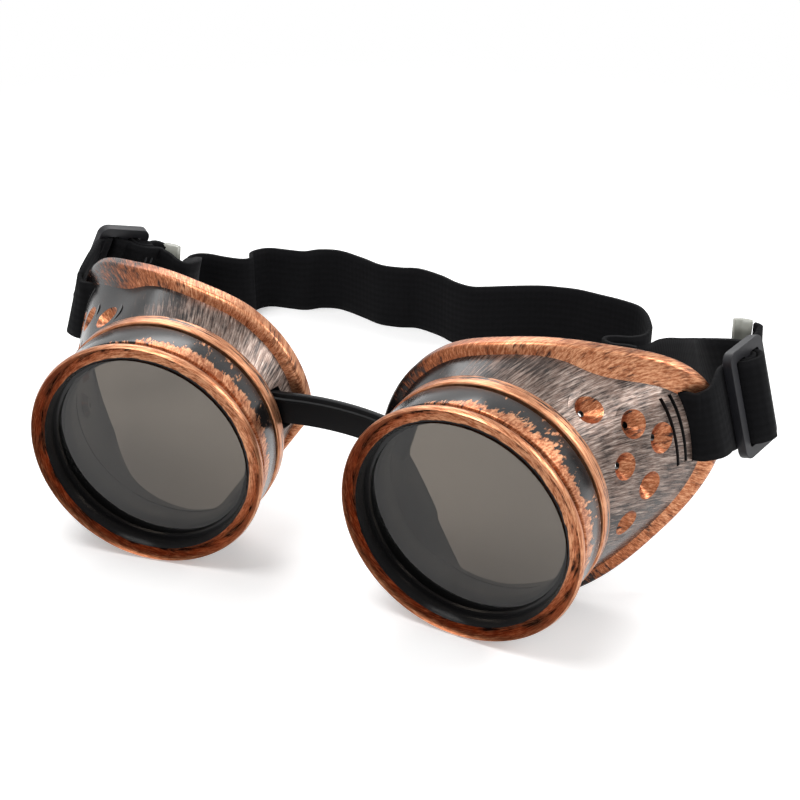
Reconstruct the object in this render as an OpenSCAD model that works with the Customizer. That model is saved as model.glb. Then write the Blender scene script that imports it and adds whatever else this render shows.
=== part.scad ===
// Steampunk goggles: two wide eye cups with screw-on lens rings, joined by a flexible
// nose bridge and an elastic head strap with a slider at each temple.
// Origin midway between the lens rings' centres, +X to the wearer's left,
// -Y the way the goggles look, +Z up. Millimetres.

/* [Lens rings] */
// Outer diameter of a screw ring
ring_d = 57; // [54:0.5:60]
// Thickness of the round bead at the front of a ring
bead_d = 3.8; // [3:0.1:4.5]
// Diameter of the ring's front opening
front_bore_d = 48.6; // [46:0.2:49.2]
// Distance from the bead's centre to the back end of the ring
ring_len = 11.7; // [11:0.1:13]
// Outer diameter of the ring's straight barrel
barrel_d = 55.1; // [54.7:0.1:55.6]
// Depth of the groove between bead and barrel
groove_depth = 0.65; // [0.3:0.05:0.9]
// Width of the lip that holds the lens in the ring
lens_lip = 1; // [0.6:0.1:1.4]
// Pitch of the screw thread
thread_pitch = 3; // [2.6:0.1:3.2]

/* [Lenses] */
// Diameter of a lens
lens_d = 50; // [49:0.1:50.4]
// Thickness of a lens
lens_t = 2.2; // [1.6:0.1:2.5]
// Distance from the bead's centre back to the lens
lens_depth = 3.4; // [3:0.1:3.8]
// Thickness of the rubber gasket's flange
gasket_t = 1; // [0.8:0.1:1.2]

/* [Eye cups] */
// Distance between the centres of the two rings
eye_distance = 76.2; // [74:0.2:82]
// Angle by which each cup turns its front towards the other
toe = 6.5; // [4:0.5:8]
// Angle by which each cup's temple side sits higher
cup_roll = 4.2; // [2:0.2:6]
// Diameter of the collar behind each ring
collar_d = 55.7; // [55.3:0.1:56.5]
// Length of the collar
collar_len = 3.75; // [3:0.05:4.2]
// Width of the gap between ring and collar
collar_gap = 1.05; // [0.6:0.05:1.4]
// Bore through the collar and its threaded spigot
spigot_bore = 47; // [46:0.2:47.6]
// Thickness of the cup's wall
wall_t = 2; // [1.6:0.1:2.4]
// Depth of the cup's back rim on the nose side
nose_depth = 22.3; // [21.5:0.1:25]
// How much further back the rim reaches at the temple
temple_wrap = 31.5; // [26:0.5:34]
// Width of the rolled lip round the rim
rim_lip = 2.1; // [1.6:0.1:2.6]
// Thickness of the rolled lip
rim_t = 4.3; // [3.6:0.1:4.8]
// Diameter of a vent's cone at the surface
vent_d = 8; // [7:0.1:8.2]
// Depth of a vent's cone
vent_depth = 3.2; // [2.4:0.1:3.6]
// Diameter of the small hole at the bottom of a vent
vent_hole_d = 1.5; // [1:0.1:2]
// Width of the two narrow slits
slit_w = 0.9; // [0.6:0.1:1.1]
// Height of the two narrow slits
slit_h = 16; // [12:0.5:16.5]

/* [Nose bridge] */
// Height of the bridge strip
bridge_h = 7.9; // [6:0.1:8.2]
// Thickness of the bridge strip
bridge_t = 1.5; // [1:0.1:1.7]
// How far the strip bows back in the middle
bridge_bow = 1.7; // [0.5:0.1:2.5]
// Angle at which the strip lies between the cups
bridge_tilt = 2.6; // [0:0.2:3]

/* [Strap] */
// Width of the elastic strap
strap_w = 20; // [18:0.5:20.4]
// Thickness of the elastic strap
strap_t = 1.2; // [0.9:0.1:1.3]
// Width of the strap where it goes through the cup
strap_neck_w = 16.2; // [14:0.2:16.4]

/* [Sliders] */
// Length of a slider along the strap
slider_len = 15; // [14.5:0.1:16.5]
// Height of a slider
slider_h = 26; // [25:0.5:30]
// Thickness of a slider
slider_t = 2.2; // [1.8:0.1:2.4]
// Width of a slider's three bars
slider_bar = 2.4; // [2:0.1:2.5]

/* [Hidden] */
$fn = 96;

LEFT = 1;
RIGHT = -1;
fit_gap = 0.1;
copper = "#b5693f";
gloss_black = "#232426";
rubber = "#17181a";
webbing = "#1d1e20";

// ring, lens and spigot
bead_r = bead_d / 2;
bead_circle_r = ring_d / 2 - bead_r;
bore_r = front_bore_d / 2;
barrel_r = barrel_d / 2;
thread_clear = 0.35;
crest_h = 0.45;
ring_wall = 1.45;
ring_thread_r = barrel_r - ring_wall;
crest_r = ring_thread_r - thread_clear;
root_r = crest_r - crest_h;
pocket_r = lens_d / 2 + fit_gap;
lip_front = lens_depth - fit_gap - 0.8;
gasket_front = lens_depth + lens_t + fit_gap;
spigot_front = gasket_front + gasket_t + fit_gap;
collar_front = ring_len + collar_gap;
collar_back = collar_front + collar_len;
collar_r = collar_d / 2;
collar_round = 0.5;

// cup wall: ruled from a circle inside the collar to the rim's outline
wall_circle_r = collar_r - 0.65;
wall_circle_y = collar_back - 2.25;
wall_root_y = collar_back - 1.1;
wall_root_r = collar_r - 1.45;
// how far the rim's outline stands out from the collar, every 30 degrees from the temple
// over the brow, before the straight cut for the nose
rim_reach = [12.7, 12.7, 6.5, 3.4, 3.8, 3.9, 3.9, 3, 0.8, 0.8, 3.6, 6.6];
rim_step = 360 / len(rim_reach);
nose_cut_side = 211;
nose_cut_r = collar_r - 2.85;
rim_x0 = 34.2;
rim_span = 76;
wrap_power = 3.15;
brow_lean = 0.19;
cheek_lean = 0.14;
nose_lean = 0.12;
brow_corner = 48;
brow_corner_lip = 3;
slot_side = 9;
opening_inset = 2.2;
round_part = 72;

// vents as [distance behind the ring's centre, angle round the ring's axis]
vents = [[23.2, 46], [23.2, 16], [23.2, -12], [29.4, 29], [29.4, 1.3], [34.9, 17]];
vent_floor_d = 1.4;
vent_boss = 1.3;
slits = [38.8, 41.3];
slit_z = 9.5;
slot_y = 44.3;
slot_z = 8.9;
slot_w = strap_t + 0.7;
slot_h = strap_neck_w + 0.5;

// bridge
bridge_y = collar_back + 1.75;
bridge_x = -26.8;
bridge_z = 8.3;
bridge_slot_w = bridge_t + 1.8;
bridge_slot_h = bridge_h + 1.9;
bridge_stub = 6.2;
bridge_head = 3.4;
bridge_rib = 0.9;

// slider: its place in the cup's frame, its turn outwards, its lean and its pitch
left_pose = [[44, 62, 9.2], 11, 13, 0];
right_pose = [[43.5, 75, 6.6], -37.7, 15, -15];
slider_window_h = strap_w + 0.8;
slider_window = (slider_len - 3 * slider_bar) / 2;
slider_corner = 2.5;
bar_edge = slider_bar / 2;
window_far = bar_edge + slider_window;
end_bar_s = slider_len / 2 - bar_edge;
layer = strap_t + fit_gap;
under_n = -(slider_t / 2 + 0.25 + strap_t / 2);
over_n = slider_t / 2 + 0.2 + strap_t / 2;
loop_s = bar_edge + 0.3 + strap_t / 2;
outer_s = loop_s + layer + 0.5;
strap_lean = 13;
floor_z = -ring_d / 2;
strap_floor_z = floor_z + strap_w / 2;

// turns of a point about one axis
function turn_x(p, a) = [p.x, p.y * cos(a) - p.z * sin(a), p.y * sin(a) + p.z * cos(a)];
function turn_y(p, a) = [p.x * cos(a) + p.z * sin(a), p.y, p.z * cos(a) - p.x * sin(a)];
function turn_z(p, a) = [p.x * cos(a) - p.y * sin(a), p.x * sin(a) + p.y * cos(a), p.z];
function unit(v) = v / norm(v);

// direction and point of a cup in the whole object's frame, for the left side
function cup_dir(v) = turn_z(turn_y(v, -cup_roll), -toe);
function cup_point(p) = [eye_distance / 2, 0, 0] + cup_dir(p);
// direction and point of a slider [outward, along the strap, up] in the same frame
function slider_dir(v, pose) =
    cup_dir(turn_z(turn_x(turn_y(v, -pose[2]), pose[3]), -pose[1]));
function slider_point(p, pose) = cup_point(pose[0]) + slider_dir(p, pose);

module on_side(side) {
    mirror([side < 0 ? 1 : 0, 0, 0]) children();
}

module at_cup(side) {
    on_side(side) translate([eye_distance / 2, 0, 0]) rotate([0, 0, -toe])
        rotate([0, -cup_roll, 0]) children();
}

module at_slider(side) {
    pose = side > 0 ? left_pose : right_pose;
    at_cup(side) translate(pose[0]) rotate([0, 0, -pose[1]]) rotate([pose[3], 0, 0])
        rotate([0, -pose[2], 0]) children();
}

// turns a profile of [radius, distance back] points about the ring's axis
module about_axis(profile) {
    rotate([-90, 0, 0]) rotate_extrude() polygon(profile);
}

// smooth curve through stations of any length, with steps pieces between two stations
function spline(p, steps) = [for (i = [0:len(p) - 2], k = [0:steps - 1])
        let (a = p[max(i - 1, 0)], b = p[i], c = p[i + 1], d = p[min(i + 2, len(p) - 1)],
            t = k / steps)
            b + t * (c - a) / 2 + t * t * (2 * a - 5 * b + 4 * c - d) / 2
                + t * t * t * (3 * (b - c) + d - a) / 2,
    p[len(p) - 1]];

// a strap along stations of [x, y, z, up x, up y, up z, width]
function place(s) = [s[0], s[1], s[2]];
function upward(s) = [s[3], s[4], s[5]];
module ribbon(stations, thick) {
    last = len(stations) - 1;
    points = [for (i = [0:last])
        let (p = place(stations[i]),
            t = unit(place(stations[min(i + 1, last)]) - place(stations[max(i - 1, 0)])),
            u = upward(stations[i]), w = unit(u - (u * t) * t) * stations[i][6] / 2,
            n = unit(cross(t, w)) * thick / 2)
            each [p + n + w, p - n + w, p - n - w, p + n - w]];
    polyhedron(points, concat([[0, 3, 2], [0, 2, 1]],
        [for (k = [last * 4]) each [[k, k + 1, k + 2], [k, k + 2, k + 3]]],
        [for (i = [0:last - 1], j = [0:3]) let (k = i * 4, m = (j + 1) % 4)
            each [[k + j, k + m, k + 4 + m], [k + j, k + 4 + m, k + 4 + j]]]));
}

// a strip that stands upright along a path of [x, y] points
module upright_strip(path, thick, height) {
    last = len(path) - 1;
    side = [for (i = [0:last]) let (t = unit(path[min(i + 1, last)] - path[max(i - 1, 0)]))
        [-t.y, t.x] * thick / 2];
    linear_extrude(height, center = true)
        polygon(concat([for (i = [0:last]) path[i] + side[i]],
            [for (i = [last:-1:0]) path[i] - side[i]]));
}

// screw ring: round bead, groove and barrel, with a lip in front of the lens
module screw_ring(side) {
    color(copper) at_cup(side) {
        rotate([-90, 0, 0]) rotate_extrude() translate([bead_circle_r, 0]) circle(bead_r);
        about_axis([[bead_circle_r - bead_r * cos(25), -bead_r * sin(25)],
            [bore_r, 0.6], [bore_r, lip_front], [bore_r - lens_lip, lip_front],
            [bore_r - lens_lip, lens_depth - fit_gap], [pocket_r, lens_depth - fit_gap],
            [pocket_r, gasket_front + 0.2], [ring_thread_r, gasket_front + 0.4],
            [ring_thread_r, ring_len], [barrel_r - 0.3, ring_len], [barrel_r, ring_len - 0.3],
            [barrel_r, bead_r + 1.5], [barrel_r - groove_depth, bead_r + 1.2],
            [barrel_r - groove_depth, bead_r * 0.6], [bead_circle_r, 0]]);
    }
}

// flat round lens with a small bevel on both edges
module lens(side) {
    bevel = 0.3;
    back = lens_depth + lens_t;
    color("#7d756c", 0.6) at_cup(side) about_axis([[0, lens_depth],
        [lens_d / 2 - bevel, lens_depth], [lens_d / 2, lens_depth + bevel],
        [lens_d / 2, back - bevel], [lens_d / 2 - bevel, back], [0, back]]);
}

// rubber gasket: a flange between lens and spigot, and a sleeve inside the spigot
module gasket(side) {
    sleeve_r = spigot_bore / 2 - fit_gap;
    sleeve_t = 0.8;
    sleeve_len = 3.4;
    color(rubber) at_cup(side) about_axis([[sleeve_r - sleeve_t, gasket_front],
        [lens_d / 2 - 0.2, gasket_front], [lens_d / 2 - 0.2, gasket_front + gasket_t],
        [sleeve_r, gasket_front + gasket_t], [sleeve_r, gasket_front + sleeve_len],
        [sleeve_r - sleeve_t, gasket_front + sleeve_len]]);
}

// the rim's outline, its depth, and its lip at an angle round the ring's axis
function reach_at(i) = rim_reach[(i + len(rim_reach)) % len(rim_reach)];
function round_rim_r(a) = let (u = a / rim_step, i = floor(u), t = u - i,
    p = reach_at(i - 1), q = reach_at(i), r = reach_at(i + 1), s = reach_at(i + 2))
    collar_r + q + t * (r - p) / 2 + t * t * (2 * p - 5 * q + 4 * r - s) / 2
        + t * t * t * (3 * (q - r) + s - p) / 2;
function rim_r(a) = min(round_rim_r(a), nose_cut_r / max(0.5, cos(a - nose_cut_side)));
function rim_depth(r, a) = nose_depth
    + (sin(a) > 0 ? brow_lean : cheek_lean) * r * sin(a)
    + nose_lean * r * pow(max(0, -cos(a)), 2)
    + temple_wrap * pow(max(0, r * cos(a) + rim_x0) / rim_span, wrap_power);
function wall_end_r(a) = rim_r(a) - rim_lip
    - brow_corner_lip * pow(max(0, cos(2 * (a - brow_corner))), 6) * (cos(a) > 0 ? 1 : 0);
function wall_end_y(a) = rim_depth(wall_end_r(a), a) - 0.95;
function wall_r(y, a) = wall_circle_r
    + (wall_end_r(a) - wall_circle_r) * (y - wall_circle_y) / (wall_end_y(a) - wall_circle_y);
function lip_t(a) = rim_t - 1.5 * pow(max(0, cos(a - slot_side)), 12);
function lip_y(r, a) = max(rim_depth(r, a) - lip_t(a), collar_back + 0.3);
// where the wall meets the front of the lip, as a share of the wall's length
function lip_share(a) = let (r = wall_end_r(a), step = (r - wall_circle_r) / 10)
    1 - (lip_t(a) - 0.95) / (wall_end_y(a) - wall_circle_y
        - 10 * (rim_depth(r, a) - rim_depth(r - step, a)));

// one slice of the cup's shell as [radius, distance back] points
function slice(a) = let (
    rim = rim_r(a), end_r = wall_end_r(a), share = lip_share(a),
    root = [wall_root_r, wall_root_y],
    front_y = lip_y(rim, a), back_y = rim_depth(rim, a),
    edge = min(1, 0.3 * (back_y - front_y)),
    bend = [min(wall_circle_r + (end_r - wall_circle_r) * share, rim - 1.2),
        max(wall_circle_y + (wall_end_y(a) - wall_circle_y) * share, collar_back + 0.3)],
    along = unit(bend - root), inward = [-along.y, along.x] * wall_t,
    inner_r = min(end_r, bend.x) - opening_inset)
    [root, bend,
        [rim - 0.9, lip_y(rim - 0.9, a)], [rim - 0.25, front_y + 0.3 * edge],
        [rim, front_y + edge], [rim, back_y - edge], [rim - 0.3, back_y - 0.3 * edge],
        [rim - 1.1, rim_depth(rim - 1.1, a)],
        [inner_r + 0.6, rim_depth(inner_r + 0.6, a)],
        [inner_r, rim_depth(inner_r, a) - 0.6],
        bend + inward, root + inward];

module cup_shell() {
    slices = [for (i = [0:round_part - 1]) slice(i * 360 / round_part)];
    n = len(slices[0]);
    polyhedron([for (i = [0:round_part - 1], p = slices[i]) let (a = i * 360 / round_part)
            [p.x * cos(a), p.y, p.x * sin(a)]],
        [for (i = [0:round_part - 1], j = [0:n - 1])
            let (k = (i + 1) % round_part, m = (j + 1) % n)
            [i * n + j, k * n + j, k * n + m, i * n + m]]);
}

// spigot with thread ridges, and the collar behind it
module collar_and_spigot() {
    ridges = [for (y = [spigot_front + 0.5:thread_pitch:collar_front - 1.6])
        each [[root_r, y], [crest_r, y + 0.4], [crest_r, y + 0.9], [root_r, y + 1.3]]];
    about_axis(concat([[spigot_bore / 2, spigot_front], [root_r, spigot_front]], ridges,
        [[root_r, collar_front], [collar_r - collar_round, collar_front],
            [collar_r, collar_front + collar_round], [collar_r, collar_back - collar_round],
            [collar_r - collar_round, collar_back], [spigot_bore / 2, collar_back]]));
}

module at_vent(v) {
    slope = atan((wall_r(v[0] + 1, v[1]) - wall_r(v[0] - 1, v[1])) / 2);
    rotate([0, -v[1], 0]) translate([wall_r(v[0], v[1]), v[0], 0]) rotate([0, 0, -slope])
        rotate([0, 90, 0]) children();
}

// eye cup: shell with a rolled rim, collar and spigot, cone vents, slits and strap slot
module eye_cup(side) {
    color(copper) at_cup(side) difference() {
        union() {
            cup_shell();
            collar_and_spigot();
            for (v = vents)
                at_vent(v) translate([0, 0, -vent_depth - 1]) cylinder(
                    h = vent_depth, d1 = vent_floor_d + 2 * vent_boss,
                    d2 = vent_d + vent_boss);
        }
        for (v = vents) at_vent(v) {
            translate([0, 0, -vent_depth])
                cylinder(h = vent_depth + 0.01, d1 = vent_floor_d, d2 = vent_d);
            cylinder(h = 4, d = vent_d);
            translate([0, 0, -vent_depth - 2]) cylinder(h = 3, d = vent_hole_d);
        }
        for (y = slits)
            translate([20, y - slit_w / 2, slit_z - slit_h / 2]) cube([24, slit_w, slit_h]);
        translate([20, slot_y - slot_w / 2, slot_z - slot_h / 2])
            cube([24, slot_w, slot_h]);
        translate([bridge_x - 6, bridge_y - bridge_slot_w / 2, bridge_z - bridge_slot_h / 2])
            cube([12, bridge_slot_w, bridge_slot_h]);
    }
}

// flexible strip between the cups, with a rib near its top and a head inside each cup
module nose_bridge() {
    gate = cup_point([bridge_x, bridge_y, bridge_z]);
    inside = cup_point([bridge_x + bridge_stub, bridge_y, bridge_z]);
    middle = [for (i = [-6:6]) let (x = gate.x * i / 6)
        [x, gate.y + bridge_bow * (1 - pow(i / 6, 2))]];
    path = concat([[-inside.x, inside.y]], middle, [[inside.x, inside.y]]);
    color(rubber) {
        translate([0, 0, gate.z]) rotate([0, bridge_tilt, 0]) {
            upright_strip(path, bridge_t, bridge_h);
            translate([0, 0, bridge_h / 2 - 1.6])
                upright_strip(middle, bridge_t + bridge_rib, bridge_rib);
        }
        for (side = [LEFT, RIGHT]) let (x = bridge_x + bridge_stub,
            z = bridge_z - side * gate.x * sin(bridge_tilt))
            at_cup(side) translate([x, bridge_y, z]) rotate([0, atan(-z / x), 0])
                cube([bridge_t, bridge_t, bridge_h + bridge_head], center = true);
    }
}

// slider: a plate with rounded corners and two windows, so with three bars
module slider(side) {
    x = slider_len / 2 - slider_corner;
    y = slider_h / 2 - slider_corner;
    color("#2b2b2e") at_slider(side) rotate([90, 0, 90]) translate([0, 0, -slider_t / 2])
        linear_extrude(slider_t) difference() {
            union() {
                square([slider_len, 2 * y], center = true);
                square([2 * x, slider_h], center = true);
                for (i = [-1, 1], j = [-1, 1]) translate([i * x, j * y])
                    circle(slider_corner);
            }
            for (i = [-1, 1]) translate([i * (bar_edge + slider_window / 2), 0])
                square([slider_window, slider_window_h], center = true);
        }
}

// a station of a strap at a slider: distance outward and along, and the strap's width
function at_pose(n, s, pose, w) = concat(slider_point([n, s, 0], pose),
    slider_dir([0, 0, 1], pose), [w]);
// a station near the slot, and one in the whole object's frame
function near_slot(x, y, z, w) = concat(cup_point([x, y, z]),
    cup_dir([-sin(strap_lean), 0, cos(strap_lean)]), [w]);
function free(x, y, z, lean) = [x, y, z, -sin(lean), 0, cos(lean), strap_w];

// the cup strap's way through a slider: over the centre bar, from front to back
cup_strap_path = [[under_n, -end_bar_s], [under_n + 0.2, -window_far + 0.5],
    [-0.2, -outer_s], [over_n + 0.2, -outer_s + 0.7], [over_n + layer + 0.5, -1.4],
    [over_n + layer + 0.9, 0], [over_n + layer + 0.5, 1.4], [over_n + 0.2, outer_s - 0.7],
    [-0.2, outer_s], [under_n + 0.2, window_far - 0.5], [under_n, end_bar_s],
    [under_n, slider_len / 2 + 0.9]];
// the side strap's way round the centre bar; its end is sewn to it behind the bar
side_strap_path = [[under_n - 2 * layer, slider_len / 2 + 0.9],
    [under_n - 2 * layer, end_bar_s - 0.5], [under_n - 2.4, window_far - 1],
    [under_n - 1.6, window_far - 2.7], [-over_n - 0.3, 0.9], [-over_n, -0.8],
    [-1, -loop_s - 0.1], [1, -loop_s - 0.1], [over_n, -1], [over_n, 1], [1, loop_s + 0.1],
    [-0.8, loop_s + 0.3], [under_n - 0.4, window_far - 2],
    [under_n - 1.1, window_far - 0.7], [under_n - layer, end_bar_s - 0.4],
    [under_n - layer, slider_len / 2 + 0.5]];

// from a sewn hem inside the cup through its slot to the slider
hem_stations = [near_slot(27.6, slot_y + 1.5, slot_z, strap_neck_w),
    near_slot(25.4, slot_y + 1.4, slot_z, strap_neck_w),
    near_slot(24.6, slot_y + 0.75, slot_z, strap_neck_w),
    near_slot(25.4, slot_y + 0.1, slot_z, strap_neck_w),
    near_slot(28, slot_y, slot_z, strap_neck_w),
    near_slot(35, slot_y, slot_z, strap_neck_w),
    near_slot(37.8, slot_y + 0.2, slot_z, strap_neck_w)];
left_run = [near_slot(40.1, 46.3, 9.2, 16.6), near_slot(41, 48.8, 9.3, 17.4),
    near_slot(41, 51.6, 9.4, 18.4), near_slot(40.8, 54.2, 9.4, 19.2)];
right_run = [near_slot(40.1, 46.3, 9, 17), near_slot(41.1, 49, 9, 18.5),
    near_slot(41.9, 53, 9, 19.6), near_slot(43, 58, 8.8, strap_w),
    near_slot(44.3, 63.5, 8.2, strap_w),
    at_pose(under_n - 1, -slider_len / 2 + 0.1, right_pose, strap_w)];
// the strap's free end, which stands behind a slider and curls towards the wearer
left_tail = [free(88, 68.6, 12, 13), free(88.2, 71.6, 12.2, 12), free(87.2, 74, 12.3, 12),
    free(84.9, 75, 12.3, 12)];
left_tip = [free(84.2, 75.1, 12.3, 12), free(82.4, 74.8, 12.3, 12),
    free(80.4, 73.8, 12.3, 12)];
right_tail = [free(82.9, 77.3, 6.3, 22), free(81.2, 78.5, 5.1, 21),
    free(79.2, 79, 4.8, 20)];
right_tip = [free(78.1, 79.1, 4.7, 20), free(76, 79, 4.5, 19), free(73.8, 78.5, 4.3, 17)];
module cup_strap(side) {
    pose = side > 0 ? left_pose : right_pose;
    through = [for (p = cup_strap_path) at_pose(p[0], p[1], pose, strap_w)];
    color(webbing) on_side(side) ribbon(spline(concat(hem_stations,
        side > 0 ? left_run : right_run, through, side > 0 ? left_tail : right_tail), 2),
        strap_t);
}

// the side strap's run from a slider down to the floor
left_fall = [free(83.4, 67.3, 10.8, 12), free(80.6, 68.4, 9.8, 12), free(77.6, 70.6, 8, 11),
    free(75, 74.4, 5.4, 10), free(72.4, 80, 2.2, 8), free(67.8, 89.4, -3.2, 6),
    free(62, 98.5, -8.6, 3), free(58.5, 103.5, -12.9, 1), free(56.2, 106.6, -15.7, 0),
    free(54.2, 108.6, -17.5, 0)];
right_fall = [free(80.2, 75.8, 5, 19), free(77.4, 75.9, 4, 17), free(74.4, 75.2, 2.8, 15),
    free(71.8, 75.6, 1.8, 13), free(70.4, 78, 0.9, 11), free(71, 82, -0.6, 10),
    free(74.2, 88.6, -3.8, 8), free(79.4, 96.6, -8.2, 6), free(85.2, 104.6, -12.6, 3),
    free(89.6, 110.2, -16.2, 1), free(92.2, 114, -18.2, 0)];
// where the side straps meet the strap that stands on the floor
left_joint = [[52.7, 109.7], [51.3, 110.4]];
right_joint = [[93.3, 116.4], [93.4, 118]];
function on_floor(p) = free(p.x, p.y, strap_floor_z, 0);
function reversed(v) = [for (i = [len(v) - 1:-1:0]) v[i]];
module side_strap(side) {
    pose = side > 0 ? left_pose : right_pose;
    round_bar = [for (p = side_strap_path) at_pose(p[0], p[1], pose, strap_w)];
    joint = side > 0 ? left_joint : right_joint;
    fall = concat(side > 0 ? left_fall : right_fall, [for (p = joint) on_floor(p)]);
    color(webbing) on_side(side) ribbon(spline(concat(reversed(fall), round_bar), 2),
        strap_t);
}

// the sealed, shiny end of the strap
module strap_tip(side) {
    color("#8c8c84") on_side(side) ribbon(side > 0 ? left_tip : right_tip, strap_t + 0.3);
}

// two upright rows of stitches through the strap's two layers behind a slider
module bar_tack(side) {
    stitch = [0.4, 0.5, 1.6];
    rows = [end_bar_s - 0.6, end_bar_s + 1.2];
    pitch = 2.2;
    count = 7;
    color("#2c2d30") at_slider(side) for (s = rows, i = [0:count - 1])
        translate([under_n - 2 * layer - strap_t / 2 - 0.5 - stitch.x / 2, s,
            (i - (count - 1) / 2) * pitch]) cube(stitch, center = true);
}

// the back of the strap stands on the floor in loose waves, from left to right
head_path = [[50, 110.9], [48.6, 111.2], [47, 111.2], [43.5, 110.6], [40.8, 111.8],
    [40.8, 114], [43.5, 115.4], [47.5, 116.6], [50.4, 119.2], [51, 123], [49.6, 127.6],
    [47.4, 132.4], [44, 136.4], [38, 138.4], [32, 139.4], [25.5, 140.4], [20, 140],
    [14, 138.8], [6, 135.4], [0, 132.4], [-5, 130.6], [-10.5, 131.8], [-16, 134.6],
    [-24, 136.8], [-29.5, 135.4], [-36, 135], [-43.5, 137.8], [-52, 140.2], [-58, 138.8],
    [-62, 135.6], [-66.5, 134.8], [-73, 134], [-76, 131.6], [-77, 128.6], [-75.4, 125],
    [-78, 123], [-84, 122.6], [-88.5, 122.8], [-91.6, 122], [-93.1, 120.3], [-93.4, 118.3]];
module head_strap() {
    color(webbing) translate([0, 0, strap_floor_z])
        upright_strip(spline(head_path, 3), strap_t, strap_w);
}

nose_bridge();
head_strap();
eye_cup(LEFT);  // left_eye_cup
eye_cup(RIGHT);  // right_eye_cup
screw_ring(LEFT);  // left_screw_ring
screw_ring(RIGHT);  // right_screw_ring
lens(LEFT);  // left_lens
lens(RIGHT);  // right_lens
gasket(LEFT);  // left_gasket
gasket(RIGHT);  // right_gasket
slider(LEFT);  // left_slider
slider(RIGHT);  // right_slider
cup_strap(LEFT);  // left_cup_strap
cup_strap(RIGHT);  // right_cup_strap
side_strap(LEFT);  // left_side_strap
side_strap(RIGHT);  // right_side_strap
strap_tip(LEFT);  // left_strap_tip
strap_tip(RIGHT);  // right_strap_tip
bar_tack(LEFT);  // left_bar_tack
bar_tack(RIGHT);  // right_bar_tack
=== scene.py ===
from math import atan, atan2, cos, degrees, hypot, pi, radians, sin
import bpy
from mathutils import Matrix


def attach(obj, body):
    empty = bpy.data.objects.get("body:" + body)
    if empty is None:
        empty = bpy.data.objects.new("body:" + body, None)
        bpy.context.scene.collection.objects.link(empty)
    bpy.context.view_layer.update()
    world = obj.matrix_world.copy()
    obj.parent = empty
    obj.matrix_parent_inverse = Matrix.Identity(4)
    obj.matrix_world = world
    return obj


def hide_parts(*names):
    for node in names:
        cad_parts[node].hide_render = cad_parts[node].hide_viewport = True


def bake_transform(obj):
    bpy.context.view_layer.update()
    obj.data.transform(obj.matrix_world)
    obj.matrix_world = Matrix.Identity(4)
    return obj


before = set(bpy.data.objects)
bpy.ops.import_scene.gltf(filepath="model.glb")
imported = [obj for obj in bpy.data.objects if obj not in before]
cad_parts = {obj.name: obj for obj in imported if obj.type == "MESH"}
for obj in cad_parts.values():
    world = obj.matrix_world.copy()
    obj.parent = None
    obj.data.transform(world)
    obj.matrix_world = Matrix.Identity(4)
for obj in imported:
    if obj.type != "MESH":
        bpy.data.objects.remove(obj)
from types import SimpleNamespace

import bmesh
import bpy
from mathutils import Matrix, Vector

bl_info = {
    "name": "Steampunk Goggles",
    "version": (1, 0, 0),
    "blender": (4, 5, 0),
    "location": "View3D > Sidebar > Goggles",
    "description": "Builds round brushed-copper goggles on a pale studio floor",
    "category": "Add Mesh",
}

SIDES = {"left": 1, "right": -1}
MM = 0.001
WHITE = (1.0, 1.0, 1.0, 1.0)


def size(name, mm, text):
    """A length, given in millimetres and kept in metres."""
    return bpy.props.FloatProperty(name=name, description=text, default=mm * MM, min=0.0,
                                   precision=5, subtype="DISTANCE", unit="LENGTH")


def angle(name, deg, text):
    """An angle, given in degrees and kept in radians."""
    return bpy.props.FloatProperty(name=name, description=text, default=radians(deg),
                                   subtype="ANGLE", unit="ROTATION")


def linear(text):
    """sRGB hex to a linear colour with alpha 1."""
    v = [int(text[i:i + 2], 16) / 255 for i in (1, 3, 5)]
    return [c / 12.92 if c <= 0.04045 else ((c + 0.055) / 1.055) ** 2.4 for c in v] + [1.0]


def hue(name, text, what):
    """A colour, given as sRGB hex and kept linear."""
    return bpy.props.FloatVectorProperty(name=name, description=what, size=4, min=0.0, max=1.0,
                                         default=linear(text), subtype="COLOR")


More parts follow.
